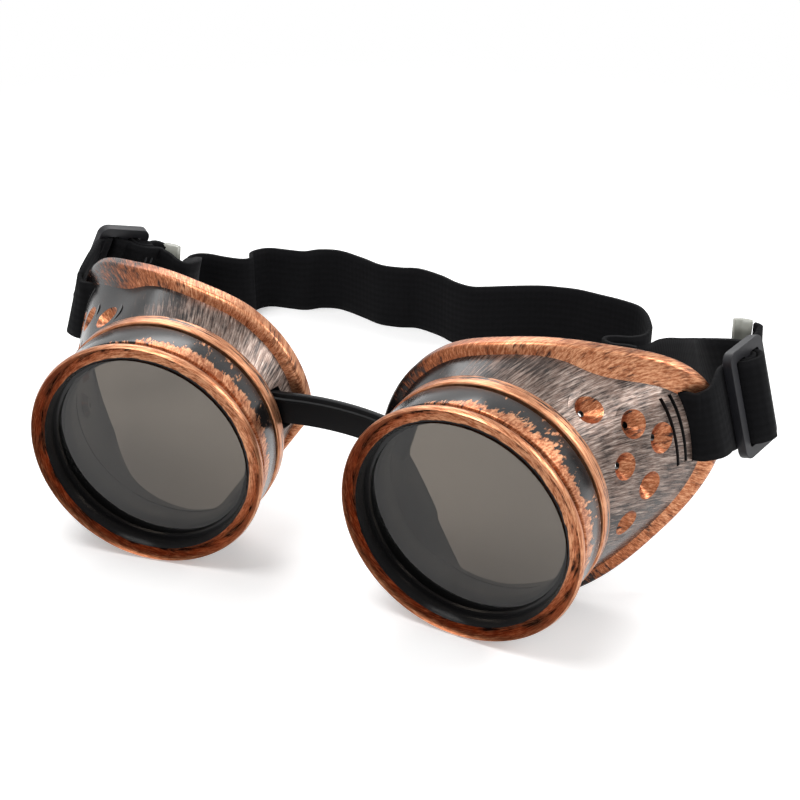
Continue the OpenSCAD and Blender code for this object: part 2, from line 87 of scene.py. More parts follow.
class GogglesSizes(bpy.types.PropertyGroup):
    """Lengths and angles of the goggles."""
    ring_d: size("Ring diameter", 57.0, "Outer diameter of a screw ring")
    bead_d: size("Bead thickness", 3.8, "Thickness of the round bead")
    bore_d: size("Front opening", 48.6, "Diameter of a ring's front opening")
    ring_len: size("Ring length", 11.7, "From the bead's centre to the ring's back end")
    barrel_d: size("Barrel diameter", 55.1, "Outer diameter of the ring's barrel")
    groove: size("Groove depth", 0.65, "Depth of the groove behind the bead")
    lens_lip: size("Lens lip", 1.0, "Width of the lip in front of the lens")
    lens_d: size("Lens diameter", 50.0, "Diameter of a lens")
    lens_t: size("Lens thickness", 2.2, "Thickness of a lens")
    lens_depth: size("Lens depth", 3.4, "From the bead's centre back to the lens")
    gasket_t: size("Gasket thickness", 1.0, "Thickness of the gasket's flange")
    eye_distance: size("Eye distance", 76.2, "Between the centres of the rings")
    toe: angle("Toe", 6.5, "Angle by which a cup's front turns to the other")
    roll: angle("Cup roll", 4.2, "Angle by which a cup's temple side sits higher")
    collar_d: size("Collar diameter", 55.7, "Diameter of the collar behind a ring")
    collar_len: size("Collar length", 3.75, "Length of the collar")
    collar_gap: size("Collar gap", 1.05, "Gap between ring and collar")
    spigot_bore: size("Spigot bore", 47.0, "Bore through collar and spigot")
    wall_t: size("Wall", 2.0, "Thickness of a cup's wall")
    nose_depth: size("Nose depth", 22.3, "Depth of the rim on the nose side")
    temple_wrap: size("Temple wrap", 31.5, "Extra depth of the rim at the temple")
    rim_lip: size("Rim lip", 2.1, "Width of the rolled lip")
    rim_t: size("Rim thickness", 4.3, "Thickness of the rolled lip")
    vent_d: size("Vent diameter", 8.0, "Diameter of a vent's cone")
    vent_depth: size("Vent depth", 3.2, "Depth of a vent's cone")
    vent_hole_d: size("Vent hole", 1.5, "Hole at the bottom of a vent")
    slit_w: size("Slit width", 0.9, "Width of the two slits")
    slit_h: size("Slit height", 16.0, "Height of the two slits")
    bridge_h: size("Bridge height", 7.9, "Height of the bridge strip")
    bridge_t: size("Bridge thickness", 1.5, "Thickness of the bridge strip")
    bridge_bow: size("Bridge bow", 1.7, "How far the strip bows back")
    bridge_tilt: angle("Bridge tilt", 2.6, "Angle at which the strip lies")
    strap_w: size("Strap width", 20.0, "Width of the elastic")
    strap_t: size("Strap thickness", 1.2, "Thickness of the elastic")
    neck_w: size("Neck width", 16.2, "Width of the elastic in the cup's slot")
    slider_len: size("Slider length", 15.0, "Length of a slider along the strap")
    slider_h: size("Slider height", 26.0, "Height of a slider")
    slider_t: size("Slider thickness", 2.2, "Thickness of a slider")
    slider_bar: size("Slider bar", 2.4, "Width of a slider's three bars")


class GogglesColours(bpy.types.PropertyGroup):
    """Colours read from the photo."""
    # the light and dark copper tones also carry painted highlight and painted shade: crests and
    # the side toward the right softbox go lighter, the far side darker
    copper: hue("Copper", "#A2603F", "Antique copper paint")
    copper_light: hue("Light copper", "#DDA37C", "Copper where it is rubbed bright")
    copper_dark: hue("Dark copper", "#54301F", "Copper where it is thin")
    black: hue("Black", "#141314", "Gloss black plastic under the paint")
    # the rose tones also carry the walls' painted reflection: lighter grey strokes toward the
    # right softbox, darker away from it
    rose: hue("Rose", "#7E6A60", "Thin copper on the temple walls")
    rose_light: hue("Light rose", "#B5A69C", "Strokes on the temple walls")
    lens: hue("Lens", "#5C554D", "Smoke-brown lens")
    rubber: hue("Rubber", "#101113", "Bridge and gaskets")
    elastic: hue("Elastic", "#0D0D0F", "Elastic strap")
    slider: hue("Slider", "#232327", "Moulded sliders")
    tip: hue("Strap tip", "#B9BAB0", "Sealed end of the strap")
    thread: hue("Thread", "#2A2B2E", "Stitches")
    floor: hue("Floor", "#FFFFFF", "Studio floor")


def sizes():
    """The user's sizes in millimetres and angles in degrees, rounded to what was typed and
    in single precision, as Blender keeps them."""
    group = bpy.context.scene.goggles_sizes
    kinds = group.bl_rna.properties
    found = {}
    for key in GogglesSizes.__annotations__:
        unit = radians(1) if kinds[key].subtype == "ANGLE" else MM
        found[key] = Vector((round(getattr(group, key) / unit, 4), 0)).x
    return SimpleNamespace(**found)


def colour(name, share=1.0):
    """One of the user's colours, darkened or lightened by a share."""
    r, g, b, a = getattr(bpy.context.scene.goggles_colours, name)
    return (r * share, g * share, b * share, a)


def turn(axis, deg):
    return Matrix.Rotation(radians(deg), 4, axis)


def move(x, y, z):
    return Matrix.Translation((x, y, z))


def mirror(side):
    return Matrix.Diagonal((side, 1, 1, 1))


def cup_frame():
    """From a cup's own frame to the object's, for the left side, in mm."""
    s = sizes()
    return move(s.eye_distance / 2, 0, 0) @ turn("Z", -s.toe) @ turn("Y", -s.roll)


def glide_frame(side):
    """From a slider's frame (outward, along the strap, up) to the object's, for x > 0."""
    centre, yaw, lean, pitch = (((44, 62, 9.2), 11, 13, 0) if side > 0
                                else ((43.5, 75, 6.6), -37.7, 15, -15))
    return (cup_frame() @ move(*centre) @ turn("Z", -yaw) @ turn("X", pitch)
            @ turn("Y", -lean))


def finish_mesh(name, bm, finishes, matrix=None, sharp=32):
    """Makes an object at the origin from a bmesh in mm, smooth but for its sharp edges."""
    matrix = matrix or Matrix()
    bmesh.ops.transform(bm, matrix=Matrix.Diagonal((MM, MM, MM, 1)) @ matrix, verts=bm.verts)
    bmesh.ops.recalc_face_normals(bm, faces=bm.faces)
    mesh = bpy.data.meshes.new(name)
    bm.to_mesh(mesh)
    bm.free()
    obj = bpy.data.objects.new(name, mesh)
    bpy.context.scene.collection.objects.link(obj)
    for m in finishes:
        mesh.materials.append(m)
    mesh.shade_smooth()
    mesh.set_sharp_from_angle(angle=radians(sharp))
    return obj


def spin(bm, profile, steps=192):
    """Turns [radius, distance back] points about the Y axis."""
    verts = [bm.verts.new((r, y, 0)) for r, y in profile]
    edges = [bm.edges.new((verts[i], verts[(i + 1) % len(verts)]))
             for i in range(len(verts))]
    bmesh.ops.spin(bm, geom=verts + edges, cent=(0, 0, 0), axis=(0, 1, 0),
                   angle=2 * pi, steps=steps, use_merge=True)
    bmesh.ops.remove_doubles(bm, verts=bm.verts, dist=1e-5)


def arc(cx, cy, r, start, end, count):
    """Points on an arc round [cx, cy], from one angle to another in degrees."""
    return [(cx + r * cos(radians(start + (end - start) * k / count)),
             cy + r * sin(radians(start + (end - start) * k / count)))
            for k in range(count + 1)]


ARC_R = 27.5  # radius in mm at which the arc length round a cup is measured
SEAM = -100  # where that length starts again, in degrees: below, next to the nose
LIT_FROM = 38  # direction in degrees above the wearer's left, the same on both cups and toward the right softbox: painted light puts more copper and a lighter tone on that side


def polar(obj, side):
    """Stores each point's place round the cup's axis, in metres, for the materials: arc
    length, distance back and radius, and how far the point lies toward the right softbox,
    which the materials use to paint light and shade."""
    back = (mirror(side) @ cup_frame()).inverted()
    places, toward_lamp = [], []
    for v in obj.data.vertices:
        p = back @ (v.co / MM)
        a = degrees(atan2(p.z, p.x))
        a += 360 if a < SEAM else 0
        places += [radians(a) * ARC_R * MM, p.y * MM, hypot(p.x, p.z) * MM]
        # cosine of the angle from the side that faces the right softbox, for painted light and
        # shade
        toward_lamp.append(cos(atan2(p.z, side * p.x) - radians(LIT_FROM)))
    place = obj.data.attributes.new("polar", "FLOAT_VECTOR", "POINT")
    place.data.foreach_set("vector", places)
    way = obj.data.attributes.new("toward_lamp", "FLOAT", "POINT")
    way.data.foreach_set("value", toward_lamp)


# Materials

# Sizes of the patterns, in mm
PATCH = 20 / 3  # patches of fuller and drier paint
PAINT = 0.03  # thickness of the paint
RIB, WEFT = 1.974, 1.5791  # spacing of the elastic's ribs and of its weft


def node(tree, kind, *values, out=0, stops=(), **given):
    """Adds a shader node and gives one of its outputs. Values go to its first sockets;
    a given name with a capital is a socket, iN is socket N, any other is a setting."""
    n = tree.nodes.new("ShaderNode" + kind)
    sockets = dict(enumerate(values))
    for key, value in given.items():
        if key[0] == "i" and key[1:].isdigit():
            sockets[int(key[1:])] = value
        elif key[0].isupper():
            sockets[key.replace("_", " ")] = value
        else:
            setattr(n, key, value)
    for key, value in sockets.items():
        if isinstance(value, bpy.types.NodeSocket):
            tree.links.new(value, n.inputs[key])
        else:
            n.inputs[key].default_value = value
    for k, (position, tone) in enumerate(stops):
        bands = n.color_ramp.elements
        band = bands[k] if k < len(bands) else bands.new(position)
        band.position, band.color = position, tone
    return n.outputs[out] if n.outputs else None


def new_material(name):
    """Makes a material and gives its empty node tree."""
    m = bpy.data.materials.new(name)
    m.use_nodes = True
    m.node_tree.nodes.clear()
    return m.node_tree


def painted(name, cover, grain, tilt=0.0, soft=0.1,
            tones=("copper_dark", "copper", "copper_light"), metal=0.85, extra=(), glow=()):
    """Antique copper paint, dry-brushed by hand over gloss black moulded ABS: streaks of
    warm metal where the brush touched, dark shine where it did not. The grain is a
    stroke's size in millimetres round the cup, along it and across it. Each extra is
    (what, low, high, start, end), a smooth step added to how far the paint covers, and
    each glow one added to how light the tone is, as paint rubbed bright or as a painted
    highlight. Steps measured toward the right softbox paint light and shade: more copper
    and a lighter tone on that side, less and darker away from it."""
    t = new_material(name)
    place = node(t, "Attribute", attribute_name="polar", out="Vector")
    back = node(t, "SeparateXYZ", place, out="Y")
    measured = {"back": back, "radius": back.node.outputs["Z"],
                "toward_lamp": node(t, "Attribute", attribute_name="toward_lamp", out="Fac")}

    def steps(value, wanted):
        """Adds a smooth step for each thing measured."""
        for what, low, high, start, end in wanted:
            step = node(t, "MapRange", measured[what], low, high, start, end,
                        interpolation_type="SMOOTHSTEP")
            value = node(t, "Math", value, step, operation="ADD")
        return value

    def blend(a, share, b):
        """A weighted sum of two values, share of the first."""
        rest = node(t, "Math", b, 1 - share, operation="MULTIPLY")
        return node(t, "Math", a, share, rest, operation="MULTIPLY_ADD")

    def brushed(shrink, detail, rough):
        """Noise drawn out along the brush's strokes."""
        stroke = node(t, "Mapping", vector_type="TEXTURE", Vector=place,
                      Scale=[g / shrink * MM for g in grain], Rotation=(0, 0, radians(tilt)))
        return node(t, "TexNoise", Vector=stroke, Scale=1.0, Detail=detail, Roughness=rough)

    strokes = brushed(1.0, 5.0, 0.6)
    fine = brushed(2.3, 3.0, 0.7)
    # patches 6.7 mm wide, where the brush was fuller or drier
    patches = node(t, "TexNoise", Vector=place, Scale=1 / (PATCH * MM), Detail=4.0,
                   Roughness=0.6, Distortion=0.3)
    level = steps((cover - 0.5) * 0.5, [(w, lo, hi, a / 2, b / 2) for w, lo, hi, a, b in extra])
    edge = node(t, "Math", blend(strokes, 0.6, patches), level, operation="ADD")
    mask = node(t, "MapRange", edge, 0.5 - soft / 2, 0.5 + soft / 2, 0.0, 1.0,
                interpolation_type="SMOOTHSTEP")
    dark, mid, light = (colour(k) for k in tones)
    tone = node(t, "ValToRGB", steps(blend(fine, 0.6, strokes), glow),
                stops=((0.34, dark), (0.5, mid), (0.66, light)))
    base = node(t, "Mix", mask, data_type="RGBA", i6=colour("black"), i7=tone, out=2)
    # the paint is a little rougher than the moulding, and stands proud of it
    rough = node(t, "Math", fine, 0.08, 0.17, operation="MULTIPLY_ADD")
    rough = node(t, "Math", mask, 0.15, rough, operation="MULTIPLY_ADD")
    relief = node(t, "Bump", Height=blend(mask, 0.6, fine), Distance=PAINT * MM,
                  Strength=0.35)
    shader = node(t, "BsdfPrincipled", Base_Color=base, Roughness=rough, Normal=relief,
                  Metallic=node(t, "Math", mask, metal, operation="MULTIPLY"),
                  IOR=1.5, Specular_IOR_Level=0.32)
    node(t, "OutputMaterial", shader)


def plain(name, key, rough, grain, depth, shine=0.5):
    """An even plastic, rubber or thread with a fine texture: its grain and its depth are
    in millimetres."""
    t = new_material(name)
    place = node(t, "TexCoord", out="Object")
    speckle = node(t, "TexNoise", Vector=place, Scale=1 / (grain * MM), Detail=3.0,
                   Roughness=0.6)
    base = node(t, "Mix", speckle, data_type="RGBA", i6=colour(key, 0.75), i7=colour(key), out=2)
    roughness = node(t, "Math", speckle, 0.1, rough, operation="MULTIPLY_ADD")
    relief = node(t, "Bump", Height=speckle, Distance=depth * MM, Strength=0.4)
    shader = node(t, "BsdfPrincipled", Base_Color=base, Roughness=roughness, Normal=relief,
                  IOR=1.5, Specular_IOR_Level=shine)
    node(t, "OutputMaterial", shader)


def elastic():
    """Elastic woven of polyester yarn over rubber: dull black, ribbed along its length
    and crossed by the weft, with a little fuzz that breaks up the light."""
    t = new_material("woven_elastic")
    place = node(t, "UVMap", uv_map="strap")
    # a wave texture of scale k repeats every pi / (10 k)
    rib = node(t, "TexWave", bands_direction="Y", Vector=place, Scale=pi / 10 / (RIB * MM),
               Distortion=0.0, out=1)
    weft = node(t, "TexWave", bands_direction="X", Vector=place,
                Scale=pi / 10 / (WEFT * MM), Distortion=0.4, out=1)
    fuzz = node(t, "TexNoise", Vector=place, Scale=900.0, Detail=4.0, Roughness=0.6)
    height = node(t, "Math", weft, 0.45, rib, operation="MULTIPLY_ADD")
    fuzz = node(t, "Math", fuzz, 0.5, operation="MULTIPLY")
    # the colour is darker where the weave lies low, between ribs and weft: painted shade in its
    # grooves; the fuzz adds a random tone
    tone = node(t, "Math", height, 0.35, fuzz, operation="MULTIPLY_ADD")
    base = node(t, "Mix", tone, data_type="RGBA", i6=colour("elastic", 0.55),
                i7=colour("elastic", 1.5), out=2)
    relief = node(t, "Bump", Height=height, Distance=0.00012, Strength=0.7)
    # yarn is rough, and its fuzz leaves hardly any gloss
    shader = node(t, "BsdfPrincipled", Base_Color=base, Roughness=0.85, Normal=relief,
                  IOR=1.5, Specular_IOR_Level=0.12)
    node(t, "OutputMaterial", shader)


def lens_acrylic():
    """Cast smoke-brown acrylic, polished: clear, with a sharp gloss. Shadow rays pass
    through it tinted, so the inside of the cup is lit."""
    t = new_material("cast_acrylic_smoke")
    haze = node(t, "TexNoise", Vector=node(t, "TexCoord", out="Object"), Scale=60.0,
                Detail=2.0, Roughness=0.6)
    tint = node(t, "Mix", haze, data_type="RGBA", i6=colour("lens", 0.96), i7=colour("lens"),
                out=2)
    glass = node(t, "BsdfPrincipled", Base_Color=tint, IOR=1.49, Transmission_Weight=1.0,
                 Roughness=node(t, "Math", haze, 0.02, operation="MULTIPLY"))
    clear = node(t, "BsdfTransparent", Color=tint)
    shadow = node(t, "LightPath", out="Is Shadow Ray")
    node(t, "OutputMaterial", node(t, "MixShader", shadow, glass, clear))


def materials():
    """Every finish, made once and looked up by name."""
    found = bpy.data.materials.get
    if not found("cast_acrylic_smoke"):
        # round bead: lighter on its crest, partly rubbed paint and partly a painted highlight; a
        # painted highlight toward the right softbox and painted shade away from it; worn dark on
        # its flank and in the bore
        painted("brushed_copper_bead", 0.9, (5.0, 0.5, 0.5), 8, 0.16, extra=(
            ("back", -0.0002, 0.0024, 0.0, -0.46), ("radius", 0.0252, 0.0245, 0.0, -1.6)),
            glow=(("back", -0.0008, -0.0019, 0.04, 0.16), ("toward_lamp", -0.8, 0.6, -0.05, 0.03)))
        # ring barrel: gloss black with ragged copper strokes behind the groove, more of them
        # toward the right softbox and fewer away from it: painted light and shade
        painted("brushed_copper_barrel", 0.28, (0.9, 2.6, 2.6), 12, 0.08, extra=(
            ("back", 0.003, 0.0084, 0.25, -0.3), ("toward_lamp", 0.1, 0.95, -0.24, 0.36)),
            glow=(("back", 0.003, 0.008, 0.02, 0.1),))
        # collar: a copper ridge, with less copper and so darker further back toward the wall; a
        # painted highlight toward the right softbox and painted shade away from it
        painted("brushed_copper_collar", 0.84, (6.0, 0.4, 0.4), 0, 0.14, extra=(
            ("back", 0.0136, 0.0148, 0.0, -0.3),), glow=(("toward_lamp", -0.8, 0.8, -0.04, 0.08),))
        # cup wall: fine diagonal strokes of thin copper; a painted reflection gives more strokes
        # of a lighter grey toward the right softbox, and fewer, darker ones away from it
        painted("brushed_copper_wall", 0.38, (0.4, 6.0, 3.0), 17, 0.3,
                ("copper_dark", "rose", "rose_light"), 0.7,
                (("toward_lamp", -0.1, 0.95, -0.22, 0.2),), (("toward_lamp", -0.2, 0.95, -0.14, 0.02),))
        # cones of the vents and the rolled rim: copper rubbed bright
        painted("brushed_copper_vent", 0.66, (0.6, 4.0, 2.0), 17, 0.14)
        # the rim gets painted light and shade: more copper and a lighter tone toward the right
        # softbox, less and darker away from it
        painted("brushed_copper_rim", 0.72, (0.5, 5.0, 2.4), 24, 0.2, extra=(
            ("toward_lamp", -0.6, 0.3, -0.4, 0.0),), glow=(("toward_lamp", -0.5, 0.9, -0.14, 0.06),))
        # moulded ABS inside the cups: smooth satin black, without paint
        plain("moulded_abs_black", "black", 0.3, 2.0, 0.006)
        # moulded silicone rubber of the bridge: satin, nearly black
        plain("moulded_rubber_bridge", "rubber", 0.35, 1 / 0.7, 0.01, 0.1)
        # die-cut rubber of the gaskets: dull
        plain("cut_rubber_gasket", "rubber", 0.6, 1 / 0.9, 0.05, 0.2)
        # moulded nylon of the sliders: charcoal with a soft edge of light
        plain("moulded_nylon_slider", "slider", 0.38, 1.25, 0.02, 0.3)
        # heat-sealed film round the strap's end: pale and shiny
        plain("heat_sealed_film", "tip", 0.2, 2.5, 0.03)
        # spun polyester thread: dull and slightly hairy
        plain("spun_polyester_thread", "thread", 0.7, 0.25, 0.1)
        elastic()
        lens_acrylic()
    return found


# Rings, lenses and gaskets

def build_rings():
    s, mat = sizes(), materials()
    bead = s.bead_d / 2
    mid = s.ring_d / 2 - bead
    barrel, bore = s.barrel_d / 2, s.bore_d / 2
    front = s.lens_depth - 0.9
    pocket = s.lens_d / 2 + 0.1
    groove = barrel - s.groove
    profile = arc(mid, 0, bead, 205, -38, 36)[::-1]
    profile = ([(groove, bead + 1.2), (groove, bead * 0.6 + 0.25)]
               + [p for p in profile if p[0] > groove or p[1] < 0.3])
    inner = [(bore, 0.6), (bore, front), (bore - s.lens_lip, front),
             (bore - s.lens_lip, front + 0.8), (pocket, front + 0.8),
             (pocket, s.lens_depth + s.lens_t + 0.3),
             (barrel - 1.45, s.lens_depth + s.lens_t + 0.5),
             (barrel - 1.45, s.ring_len), (barrel - 0.35, s.ring_len),
             (barrel - 0.1, s.ring_len - 0.1), (barrel, s.ring_len - 0.35),
             (barrel, bead + 1.6), (barrel - 0.12, bead + 1.42)]
    for name, side in SIDES.items():
        bm = bmesh.new()
        spin(bm, profile + inner)
        obj = finish_mesh(f"{name}_ring", bm, [mat("brushed_copper_bead"),
                                               mat("brushed_copper_barrel")],
                          mirror(side) @ cup_frame(), 30)
        polar(obj, side)
        kinds = obj.data.attributes["polar"].data
        for f in obj.data.polygons:
            y, r = (sum(kinds[v].vector[i] for v in f.vertices) / len(f.vertices) / MM
                    for i in (1, 2))
            f.material_index = 1 if y > bead + 0.4 and r > barrel - 1.6 else 0
        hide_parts(f"{name}_screw_ring")
        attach(obj, f"{name}_ring")


def build_lenses():
    s, mat = sizes(), materials()
    r, y, d = s.lens_d / 2, s.lens_depth, s.lens_t
    for name, side in SIDES.items():
        bm = bmesh.new()
        bmesh.ops.create_circle(bm, cap_ends=True, radius=r - 0.3, segments=192,
                                matrix=move(0, y, 0) @ turn("X", 90))
        made = bmesh.ops.extrude_face_region(bm, geom=bm.faces[:])
        up = [v for v in made["geom"] if isinstance(v, bmesh.types.BMVert)]
        bmesh.ops.translate(bm, vec=(0, 0.3, 0), verts=up)
        bmesh.ops.scale(bm, vec=(r / (r - 0.3), 1, r / (r - 0.3)), verts=up)
        for shift, ratio in ((d - 0.6, 1), (0.3, (r - 0.3) / r)):
            top = [f for f in made["geom"] if isinstance(f, bmesh.types.BMFace)]
            made = bmesh.ops.extrude_face_region(bm, geom=top)
            bmesh.ops.delete(bm, geom=top, context="FACES_ONLY")
            up = [v for v in made["geom"] if isinstance(v, bmesh.types.BMVert)]
            bmesh.ops.translate(bm, vec=(0, shift, 0), verts=up)
            bmesh.ops.scale(bm, vec=(ratio, 1, ratio), verts=up)
        obj = finish_mesh(f"{name}_lens_disc", bm, [mat("cast_acrylic_smoke")],
                          mirror(side) @ cup_frame(), 20)
        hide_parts(f"{name}_lens")
        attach(obj, f"{name}_lens_carrier")


def build_gaskets():
    s, mat = sizes(), materials()
    y = s.lens_depth + s.lens_t + 0.1
    sleeve = s.spigot_bore / 2 - 0.1
    rim = s.lens_d / 2 - 0.2
    for name, side in SIDES.items():
        bm = bmesh.new()
        spin(bm, [(sleeve - 0.8, y), (rim, y), (rim, y + s.gasket_t), (sleeve, y + s.gasket_t),
                  (sleeve, y + 3.4), (sleeve - 0.8, y + 3.4)])
        obj = finish_mesh(f"{name}_gasket_ring", bm, [mat("cut_rubber_gasket")],
                          mirror(side) @ cup_frame())
        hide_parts(f"{name}_gasket")
        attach(obj, f"{name}_cup")


# Eye cups

# How far the rim stands out from the collar, in mm, every 30 degrees from the temple up
REACH = (12.7, 12.7, 6.5, 3.4, 3.8, 3.9, 3.9, 3, 0.8, 0.8, 3.6, 6.6)
NOSE_CUT = 211  # direction of the straight cut for the nose, in degrees
# Places on a cup in its own frame, in mm, and each vent's angle round it in degrees
VENTS = ((23.2, 46), (23.2, 16), (23.2, -12), (29.4, 29), (29.4, 1.3), (34.9, 17))
CUT_X = (20, 44)  # from inside the temple wall to outside it
SLITS_Y, SLITS_Z = (38.8, 41.3), 9.5
SLOT_Y, SLOT_Z, SLOT_HALF = 44.3, 8.9, 0.95  # the slot that the elastic passes
BRIDGE_CUT_X, BRIDGE_PLAY = (-32.8, -20.8), 1.0  # the slot that the bridge passes
BRIDGE_X, BRIDGE_Z, BRIDGE_BACK = -26.8, 8.3, 1.75  # where it does, behind the collar
HEAD_X, HEAD_BACK = -20.6, 1.6  # the bridge's head inside the cup


class Shell:
    """The cup's wall and rolled rim as functions of the angle a round the ring's axis, in
    mm and degrees. The numbers are those of the CAD's cup, fitted to the photo."""

    def __init__(self):
        s = self.s = sizes()
        self.collar_r = s.collar_d / 2
        self.collar_front = s.ring_len + s.collar_gap
        self.collar_back = self.collar_front + s.collar_len
        self.r0, self.y0 = self.collar_r - 0.65, self.collar_back - 2.25

    def rim_r(self, a):
        """Outer radius of the rim, cut straight for the nose."""
        u = (a % 360) / 30
        i = int(u)
        t = u - i
        p, q, r, w = (REACH[(i + k) % 12] for k in (-1, 0, 1, 2))
        full = (q + t * (r - p) / 2 + t * t * (2 * p - 5 * q + 4 * r - w) / 2
                + t ** 3 * (3 * (q - r) + w - p) / 2)
        cut = (self.collar_r - 2.85) / max(0.5, cos(radians(a - NOSE_CUT)))
        return min(self.collar_r + full, cut)

    def depth(self, r, a):
        """Distance back of the rim's rear face."""
        ra = radians(a)
        lean = 0.19 if sin(ra) > 0 else 0.14
        return (self.s.nose_depth + lean * r * sin(ra) + 0.12 * r * max(0, -cos(ra)) ** 2
                + self.s.temple_wrap * (max(0, r * cos(ra) + 34.2) / 76) ** 3.15)

    def end_r(self, a):
        """Radius at which the wall meets the rim."""
        corner = max(0, cos(radians(2 * (a - 48)))) ** 6 * (cos(radians(a)) > 0)
        return self.rim_r(a) - self.s.rim_lip - 3 * corner

    def end_y(self, a):
        """Distance back at which the wall meets the rim."""
        return self.depth(self.end_r(a), a) - 0.95

    def wall_r(self, y, a):
        """Outer radius of the wall, a straight cone from the collar."""
        return self.r0 + (self.end_r(a) - self.r0) * (y - self.y0) / (self.end_y(a) - self.y0)

    def lip_t(self, a):
        """Thickness of the lip, thinner at the temple."""
        return self.s.rim_t - 1.5 * max(0, cos(radians(a - 9))) ** 12

    def lip_y(self, r, a):
        """Distance back of the lip's front face."""
        return max(self.depth(r, a) - self.lip_t(a), self.collar_back + 0.3)

    def inner_r(self, a, end):
        """Inner edge of the lip: thin at the bottom, and cut straight for the nose."""
        low = min(1, max(0, (-sin(radians(a)) - 0.6) / 0.25))
        round_edge = (end - 2.2) * (1 - low) + (self.rim_r(a) - 1.55) * low
        return min(round_edge, 21.45 / max(0.5, cos(radians(a - NOSE_CUT))))

    def section(self, a, wall=14):
        """Closed section as [radius, distance back]: wall, rolled lip, inside."""
        rim, end = self.rim_r(a), self.end_r(a)
        step = (end - self.r0) / 10
        share = 1 - (self.lip_t(a) - 0.95) / (
            self.end_y(a) - self.y0 - 10 * (self.depth(end, a) - self.depth(end - step, a)))
        root = Vector((self.collar_r - 1.45, self.collar_back - 1.1))
        bend = Vector((min(self.r0 + (end - self.r0) * share, rim - 1.2),
                       max(self.y0 + (self.end_y(a) - self.y0) * share,
                           self.collar_back + 0.3)))
        along = (bend - root).normalized()
        inward = Vector((-along.y, along.x)) * self.s.wall_t
        inner = self.inner_r(a, min(end, bend.x))
        edge = min(1, 0.3 * (self.depth(rim, a) - self.lip_y(rim, a)))
        pts = [root.lerp(bend, k / wall) for k in range(wall + 1)]
        for k in range(1, 3):
            r = bend.x + (rim - 0.9 - bend.x) * k / 3
            pts.append((r, self.lip_y(r, a)))
        for k in range(7):
            t = radians(15 * k)
            r = rim - 0.9 * (1 - sin(t))
            pts.append((r, self.lip_y(r, a) + edge * (1 - cos(t))))
        for k in range(7):
            t = radians(15 * k)
            r = rim - 1.1 * (1 - cos(t))
            pts.append((r, self.depth(r, a) - edge * (1 - sin(t))))
        for k in range(1, 4):
            r = rim - 1.1 + (inner + 0.6 - rim + 1.1) * k / 4
            pts.append((r, self.depth(r, a)))
        for k in range(4):
            t = radians(30 * k)
            r = inner + 0.6 * (1 - sin(t))
            pts.append((r, self.depth(r, a) - 0.6 * (1 - cos(t))))
        return pts + [(bend + inward).lerp(root + inward, k / wall)
                      for k in range(wall + 1)]


def shell_mesh(shell, count=288):
    """Lofts the cup's wall and lip through its sections round the axis."""
    bm = bmesh.new()
    rings = []
    for i in range(count):
        a = 360 * i / count
        ra = radians(a)
        rings.append([bm.verts.new((r * cos(ra), y, r * sin(ra)))
                      for r, y in shell.section(a)])
    n = len(rings[0])
    for i in range(count):
        here, there = rings[i], rings[(i + 1) % count]
        for j in range(n):
            m = (j + 1) % n
            bm.faces.new((here[j], there[j], there[m], here[m]))
    bmesh.ops.recalc_face_normals(bm, faces=bm.faces)
    return bm


def vent_frame(shell, y, a):
    """From a vent's frame, whose Z points out of the wall, to the cup's."""
    slope = degrees(atan((shell.wall_r(y + 1, a) - shell.wall_r(y - 1, a)) / 2))
    return (turn("Y", -a) @ move(shell.wall_r(y, a), y, 0) @ turn("Z", -slope)
            @ turn("Y", 90))


def revolve(bm, points, matrix, steps=48):
    """Turns [radius, height] points about the Z axis of a frame."""
    verts = [bm.verts.new((r, 0, z)) for r, z in points]
    edges = [bm.edges.new(verts[i:i + 2]) for i in range(len(verts) - 1)]
    bmesh.ops.spin(bm, geom=verts + edges, cent=(0, 0, 0), axis=(0, 0, 1),
                   angle=2 * pi, steps=steps, use_merge=True)
    new = set(verts)
    new.update(v for f in bm.faces for v in f.verts if not f.tag)
    for f in bm.faces:
        f.tag = True
    bmesh.ops.transform(bm, matrix=matrix, verts=list(new))
    bmesh.ops.remove_doubles(bm, verts=bm.verts, dist=1e-4)


def block(bm, low, high):
    """Adds a box between two corners."""
    extent = [b - a for a, b in zip(low, high)]
    mid = [(a + b) / 2 for a, b in zip(low, high)]
    bmesh.ops.create_cube(bm, size=1.0, matrix=move(*mid) @ Matrix.Diagonal((*extent, 1)))


def loose(name, bm):
    """A helper mesh in mm that is used in a boolean and then removed."""
    bmesh.ops.recalc_face_normals(bm, faces=bm.faces)
    mesh = bpy.data.meshes.new(name)
    bm.to_mesh(mesh)
    bm.free()
    obj = bpy.data.objects.new(name, mesh)
    bpy.context.scene.collection.objects.link(obj)
    return obj


def apply_boolean(obj, other, operation):
    """Cuts or joins a helper into a mesh and removes the helper."""
    mod = obj.modifiers.new("cut", "BOOLEAN")
    mod.operation = operation
    mod.solver = "EXACT"
    mod.use_self = True
    mod.object = other
    bpy.context.view_layer.objects.active = obj
    if bpy.ops.object.modifier_apply(modifier=mod.name) != {"FINISHED"}:
        raise RuntimeError(f"the boolean on {obj.name} failed")
    bpy.data.objects.remove(other)


